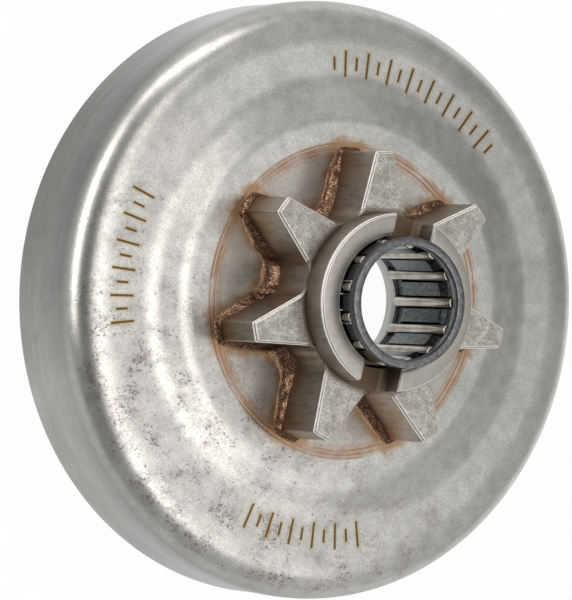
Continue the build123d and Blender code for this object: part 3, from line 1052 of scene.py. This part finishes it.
# %% Cage tree
def cage_tree():
    tree, given = open_tree("cage_bars", {
        "Bar": "NodeSocketGeometry", "Bars": "NodeSocketInt", "Finish": "NodeSocketMaterial"})
    turn = add(tree, "ShaderNodeMath", {0: 2 * pi, 1: given["Bars"]}, operation="DIVIDE")
    angle = overlap(tree, add(tree, "GeometryNodeInputIndex"), turn)
    bars = add(tree, "GeometryNodeInstanceOnPoints", {
        "Points": add(tree, "GeometryNodePoints", {"Count": given["Bars"]}),
        "Instance": given["Bar"],
        "Rotation": add(tree, "ShaderNodeCombineXYZ", {"Z": angle})})
    whole = add(tree, "GeometryNodeRealizeInstances", {"Geometry": bars})
    finished = add(tree, "GeometryNodeSetMaterial", {"Geometry": whole, "Material": given["Finish"]})
    add(tree, "NodeGroupOutput", {"Result": finished})
    return tree


bar_mesh = bmesh.new()
cage_bar(bar_mesh)
bars = make_piece("cage_bars", bar_mesh)
use_tree(bars, cage_tree(), {"Bars": ROLLER_COUNT, "Finish": CAGE_STEEL})

# %% Cage rings
RING_TURNS = 128
cage_mesh = bmesh.new()
cage_mesh.from_mesh(bars.data)
bpy.data.objects.remove(bars)
for low in (CAGE_LOW, CAGE_HIGH - RING_WIDTH):
    high = low + RING_WIDTH
    ring = [(RING_INNER, low), (CAGE_RADIUS, low), (CAGE_RADIUS, high), (RING_INNER, high)]
    lathe(cage_mesh, rounded([(*corner, RING_ROUND) for corner in ring]), RING_TURNS)
bmesh.ops.recalc_face_normals(cage_mesh, faces=cage_mesh.faces)
cage = make_piece("cage_pressed", cage_mesh, CAGE_STEEL)

# %% [markdown]
# ## Needle rollers
# Thirteen rollers are turned alike, each about its own axis, and each rides on its own body so that it can
# roll. Their sizes and places are read from the frame.

# %% Needle rollers
ROLLER_EDGE = 0.2
ROLLER_EDGE_STEPS = 4
ROLLER_TURNS = 40
rollers = []
for node in ROLLER_NODES:
    low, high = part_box(node)
    middle = (low + high) / 2 / MM
    radius = (high.x - low.x) / 2 / MM
    roller_mesh = bmesh.new()
    half_section = [
        (0, low.z / MM, 0), (radius, low.z / MM, ROLLER_EDGE),
        (radius, high.z / MM, ROLLER_EDGE), (0, high.z / MM, 0)]
    lathe(roller_mesh, rounded(half_section, ROLLER_EDGE_STEPS), ROLLER_TURNS, middle.xy)
    clean(roller_mesh)
    name = node.replace("needle_roller", "ground_roller")
    rollers.append(make_piece(name, roller_mesh, ROLLER_STEEL))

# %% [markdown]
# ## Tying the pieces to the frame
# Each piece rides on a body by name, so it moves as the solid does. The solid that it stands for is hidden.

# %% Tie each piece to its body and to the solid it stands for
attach(cup, "drum")
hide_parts("drum_cup")
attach(sprocket, "drum")
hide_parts("spur_sprocket")
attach(bead, "drum")
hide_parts("copper_braze")
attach(cage, "cage")
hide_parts("bearing_cage")
for roller, node in zip(rollers, ROLLER_NODES):
    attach(roller, node.replace("needle_roller", "roller"))
    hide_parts(node)
print("Tied", 4 + len(rollers), "pieces to their bodies")

# %% [markdown]
# ## Floor, light and world
# The photograph has a pure white ground, and soft boxes that the curved steel mirrors as bright and dark
# bands. Camera rays see a white floor, while the object is lit by lamps at a plain level. The floor is still
# a real surface that takes a soft shadow, and the drum's bore looks through to it.

# %% Floor
FLOOR_HALF = 4.0
FLOOR_GAP = 0.00002
SHADE_RADIUS = 70.0
FAR_RADIUS = 160.0
SHADE_LEVEL = 0.43
NEAR_LEVEL = 1.05
LOW_SHARE = 0.84
FAR_LEVEL = 0.7
WHITE_SHARE = 0.96
SHADE_DIRECTION = (CAMERA_UP * 0.42 - CAMERA_RIGHT * 0.9).normalized()


def studio_floor():
    material, tree = new_finish("white_paper")
    position, radius, angle, height = places(tree)
    ray = add(tree, "ShaderNodeLightPath").node.outputs
    seen = add(tree, "ShaderNodeMath", {
        0: ray["Is Camera Ray"], 1: ray["Is Transmission Ray"]}, operation="MAXIMUM")
    across = add(tree, "ShaderNodeVectorMath", {0: position}, operation="NORMALIZE")
    shaded = toward(tree, across, SHADE_DIRECTION, 0.6, 0.97, NEAR_LEVEL, SHADE_LEVEL, easing="LINEAR")
    low = toward(tree, across, CAMERA_UP, -0.9, -0.3, LOW_SHARE, 1.0, easing="LINEAR")
    shaded = overlap(tree, shaded, low)
    far = add(tree, "ShaderNodeMapRange", {
        "Value": radius, "From Min": SHADE_RADIUS, "From Max": FAR_RADIUS}, interpolation_type="SMOOTHSTEP")
    lit = add(tree, "ShaderNodeMix", {"Factor": far, "A": shaded, "B": FAR_LEVEL}, data_type="FLOAT")
    mirrored = overlap(tree, lit, ray["Is Glossy Ray"])
    strength = add(tree, "ShaderNodeMath", {0: seen, 1: mirrored}, operation="MAXIMUM")
    share = overlap(tree, seen, WHITE_SHARE)
    share = add(tree, "ShaderNodeMath", {0: share, 1: ray["Is Glossy Ray"]}, operation="MAXIMUM")
    paper = add(tree, "ShaderNodeBsdfDiffuse", {"Color": paint("#ececea")})
    glow = add(tree, "ShaderNodeEmission", {"Color": paint("#ffffff"), "Strength": strength})
    mixed = add(tree, "ShaderNodeMixShader", {0: share, 1: paper, 2: glow})
    add(tree, "ShaderNodeOutputMaterial", {"Surface": mixed})
    return material


floor_mesh = bmesh.new()
bmesh.ops.create_grid(floor_mesh, x_segments=1, y_segments=1, size=FLOOR_HALF)
bmesh.ops.translate(floor_mesh, verts=floor_mesh.verts, vec=(0, 0, -FLOOR_GAP))
floor = make_piece("studio_floor", floor_mesh, studio_floor())

# %% [markdown]
# A lamp is placed by the direction it has in the picture, to the right, up and towards the camera, because
# that is how its mirror image is found on the steel. Its power follows from its size, so that its brightness
# is set. The world's light is graded in the same directions, for the darker bands between the lamps.

# %% Lamps
AIM = Vector((0, 0, 0.012))
# Direction to the right, up and towards the camera, distance, width and height in metres, and brightness
LAMPS = {
    "key_box": (0.67, -0.33, 0.69, 0.35, 0.31, 0.42, 0.8),
    "front_box": (0.41, -0.05, 0.912, 1.0, 0.58, 1.7, 1.42),
    "side_box": (-0.655, 0.38, 0.65, 1.0, 0.3, 1.1, 4.2),
    "rear_box": (-0.05, 0.95, 0.3, 1.0, 0.8, 0.3, 3.0),
    "top_box": (0.79, 0.52, 0.27, 0.6, 0.25, 0.25, 0.2),
}


def soft_box(name, right, up, near, distance, width, height, brightness):
    """Area lamp in a direction of the picture, whose brightness of 1 is white."""
    data = bpy.data.lights.new(name, "AREA")
    data.shape = "RECTANGLE"
    data.size = width
    data.size_y = height
    data.energy = brightness * pi * width * height
    lamp = bpy.data.objects.new(name, data)
    away = (CAMERA_RIGHT * right + CAMERA_UP * up + CAMERA_BACK * near).normalized()
    across = CAMERA_UP.cross(away).normalized()
    turn = Matrix((across, away.cross(across), away)).transposed().to_4x4()
    lamp.matrix_world = Matrix.Translation(AIM + away * distance) @ turn
    bpy.context.scene.collection.objects.link(lamp)
    print(name, "is", round(lamp.location.z, 2), "m above the floor")


for name, values in LAMPS.items():
    soft_box(name, *values)

# %% World
WORLD_LEVEL = 0.5
# Direction to the right, up and towards the camera, the cosines where a lobe starts and is full, and its level
WORLD_LOBES = (
    ((0.72, -0.69, 0.0), 0.70, 0.98, 0.16),
    ((0.93, 0.34, -0.15), 0.84, 0.97, -0.08))
DARK_LEVEL = 0.27
BACK_SHARE = 0.6
END_LEVEL = 0.18


def studio_world():
    world = bpy.data.worlds.new("studio")
    world.use_nodes = True
    tree = world.node_tree
    tree.nodes.clear()
    direction = add(tree, "ShaderNodeTexCoord").node.outputs["Generated"]
    level = toward(tree, direction, CAMERA_RIGHT, -0.3, 0.7, DARK_LEVEL, WORLD_LEVEL)
    level = overlap(tree, level, toward(tree, direction, CAMERA_BACK, 0.8, 0.95, 1.0, BACK_SHARE))
    upright = add(tree, "ShaderNodeVectorMath", {0: direction, 1: CAMERA_UP}, operation="DOT_PRODUCT")
    upright = add(tree, "ShaderNodeMath", {0: upright}, operation="ABSOLUTE")
    upright = add(tree, "ShaderNodeMapRange", {
        "Value": upright, "From Min": 0.45, "From Max": 0.9, "To Max": END_LEVEL},
        interpolation_type="SMOOTHSTEP")
    level = add(tree, "ShaderNodeMath", {0: level, 1: upright}, operation="ADD")
    for aim, start, end, change in WORLD_LOBES:
        aim = (CAMERA_TURN.to_3x3() @ Vector(aim)).normalized()
        lobe = toward(tree, direction, aim, start, end, 0.0, change)
        level = add(tree, "ShaderNodeMath", {0: level, 1: lobe}, operation="ADD")
    ray = add(tree, "ShaderNodeLightPath").node.outputs
    level = add(tree, "ShaderNodeMath", {0: level, 1: ray["Is Camera Ray"]}, operation="MAXIMUM")
    room = add(tree, "ShaderNodeBackground", {"Color": paint("#ffffff"), "Strength": level})
    add(tree, "ShaderNodeOutputWorld", {"Surface": room})
    bpy.context.scene.world = world


studio_world()
bpy.context.scene.view_settings.view_transform = "Standard"
print("World lights at", WORLD_LEVEL, "of white")
